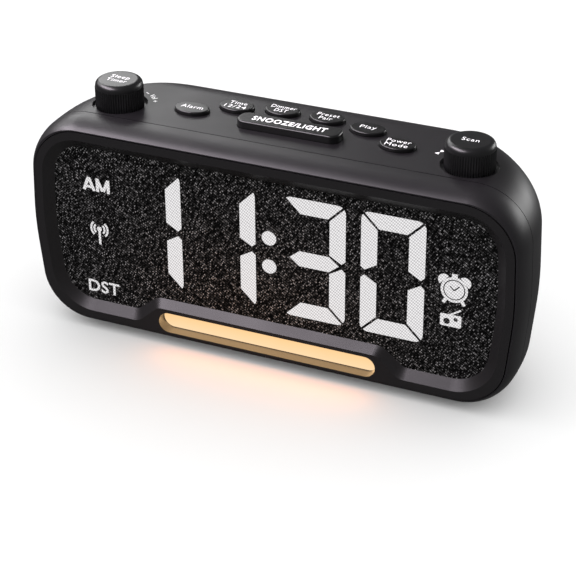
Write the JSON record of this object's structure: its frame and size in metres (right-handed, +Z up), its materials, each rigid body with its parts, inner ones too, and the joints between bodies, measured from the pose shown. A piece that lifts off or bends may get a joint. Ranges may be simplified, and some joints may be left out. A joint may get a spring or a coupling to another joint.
{
  "type": "clock radio",
  "caption": "Bedside clock radio with a woven display front, a warm light bar below it, oval keys and a long snooze bar between two ridged knobs on top.",
  "frame": {"origin": "under the middle of the body, on the plane the feet stand on", "axes": "+X to the listener's right, +Y from the front to the back, +Z up"},
  "size_m": [0.1836, 0.0578, 0.0912],
  "materials": {
    "shell_plastic": "satin moulded ABS",
    "frame_plastic": "satin moulded ABS",
    "key_plastic": "satin moulded ABS",
    "knob_plastic": "satin moulded ABS",
    "grille_cloth": "woven polyester, black and white yarn",
    "smoked_panel": "smooth smoked polycarbonate",
    "lit_white": "milky light windows",
    "lit_warm": "milky diffuser, warm light",
    "reflector_white": "moulded white ABS",
    "circuit_board": "solder-masked glass epoxy",
    "chip_black": "moulded epoxy",
    "lamp_chip": "silicone over ceramic",
    "bright_metal": "plated steel",
    "dark_screw": "blackened steel",
    "magnet_metal": "zinc plate over ferrite",
    "cone_paper": "coated paper",
    "soft_rubber": "moulded rubber",
    "cell_steel": "polished steel can",
    "ribbon_grey": "PVC ribbon",
    "holder_plastic": "moulded nylon"
  },
  "bodies": {
    "case": {"front_shell": "shell_plastic", "bezel_frame": "frame_plastic", "rear_housing": "shell_plastic", "grille_fabric": "grille_cloth", "display_panel": "smoked_panel", "display_segments": "lit_white", "display_reflector": "reflector_white", "display_board": "circuit_board", "display_leds": "lamp_chip", "light_bar_diffuser": "lit_warm", "light_board": "circuit_board", "light_leds": "lamp_chip", "key_board": "circuit_board", "tact_switches": "chip_black", "main_board": "circuit_board", "main_chips": "chip_black", "port_board": "circuit_board", "case_screws": "dark_screw", "board_screws": "bright_metal", "speaker_screws": "bright_metal", "battery_holder": "holder_plastic", "coin_cell": "cell_steel", "battery_contact": "bright_metal", "battery_door": "shell_plastic", "battery_screw": "dark_screw", "dc_jack": "holder_plastic", "usb_port": "bright_metal", "aerial_bush": "soft_rubber", "display_ribbon": "ribbon_grey", "key_ribbon": "ribbon_grey", "rubber_feet": "soft_rubber", "left_speaker_basket": "holder_plastic", "left_speaker_magnet": "magnet_metal", "left_speaker_surround": "soft_rubber", "left_speaker_cone": "cone_paper", "left_speaker_dust_cap": "cone_paper", "right_speaker_basket": "holder_plastic", "right_speaker_magnet": "magnet_metal", "right_speaker_surround": "soft_rubber", "right_speaker_cone": "cone_paper", "right_speaker_dust_cap": "cone_paper", "volume_encoder_body": "chip_black", "tuning_encoder_body": "chip_black"},
    "alarm_key": {"alarm_key": "key_plastic"},
    "time_key": {"time_key": "key_plastic"},
    "dimmer_key": {"dimmer_key": "key_plastic"},
    "preset_key": {"preset_key": "key_plastic"},
    "play_key": {"play_key": "key_plastic"},
    "power_key": {"power_key": "key_plastic"},
    "snooze_bar": {"snooze_bar": "key_plastic"},
    "volume_plunger": {"volume_encoder_plunger": "holder_plastic"},
    "volume_knob": {"volume_knob": "knob_plastic", "volume_encoder_shaft": "bright_metal"},
    "tuning_plunger": {"tuning_encoder_plunger": "holder_plastic"},
    "tuning_knob": {"tuning_knob": "knob_plastic", "tuning_encoder_shaft": "bright_metal"}
  },
  "joints": [
    {"name": "alarm_press", "type": "slide", "parent": "case", "child": "alarm_key", "axis": [0, 0, -1], "range_m": [0, 0.0005], "stiffness_N_per_m": 400, "springref_m": -0.001},
    {"name": "time_press", "type": "slide", "parent": "case", "child": "time_key", "axis": [0, 0, -1], "range_m": [0, 0.0005], "stiffness_N_per_m": 400, "springref_m": -0.001},
    {"name": "dimmer_press", "type": "slide", "parent": "case", "child": "dimmer_key", "axis": [0, 0, -1], "range_m": [0, 0.0005], "stiffness_N_per_m": 400, "springref_m": -0.001},
    {"name": "preset_press", "type": "slide", "parent": "case", "child": "preset_key", "axis": [0, 0, -1], "range_m": [0, 0.0005], "stiffness_N_per_m": 400, "springref_m": -0.001},
    {"name": "play_press", "type": "slide", "parent": "case", "child": "play_key", "axis": [0, 0, -1], "range_m": [0, 0.0005], "stiffness_N_per_m": 400, "springref_m": -0.001},
    {"name": "power_press", "type": "slide", "parent": "case", "child": "power_key", "axis": [0, 0, -1], "range_m": [0, 0.0005], "stiffness_N_per_m": 400, "springref_m": -0.001},
    {"name": "snooze_press", "type": "slide", "parent": "case", "child": "snooze_bar", "axis": [0, 0, -1], "range_m": [0, 0.0005], "stiffness_N_per_m": 600, "springref_m": -0.001},
    {"name": "volume_push", "type": "slide", "parent": "case", "child": "volume_plunger", "axis": [0, 0, -1], "range_m": [0, 0.0005], "stiffness_N_per_m": 1500, "springref_m": -0.001},
    {"name": "volume_turn", "type": "hinge", "parent": "volume_plunger", "child": "volume_knob", "pos_m": [-0.0649, -0.0067, 0.085], "axis": [0, 0, 1], "continuous": true},
    {"name": "tuning_push", "type": "slide", "parent": "case", "child": "tuning_plunger", "axis": [0, 0, -1], "range_m": [0, 0.0005], "stiffness_N_per_m": 1500, "springref_m": -0.001},
    {"name": "tuning_turn", "type": "hinge", "parent": "tuning_plunger", "child": "tuning_knob", "pos_m": [0.0649, -0.0067, 0.085], "axis": [0, 0, 1], "continuous": true}
  ]
}
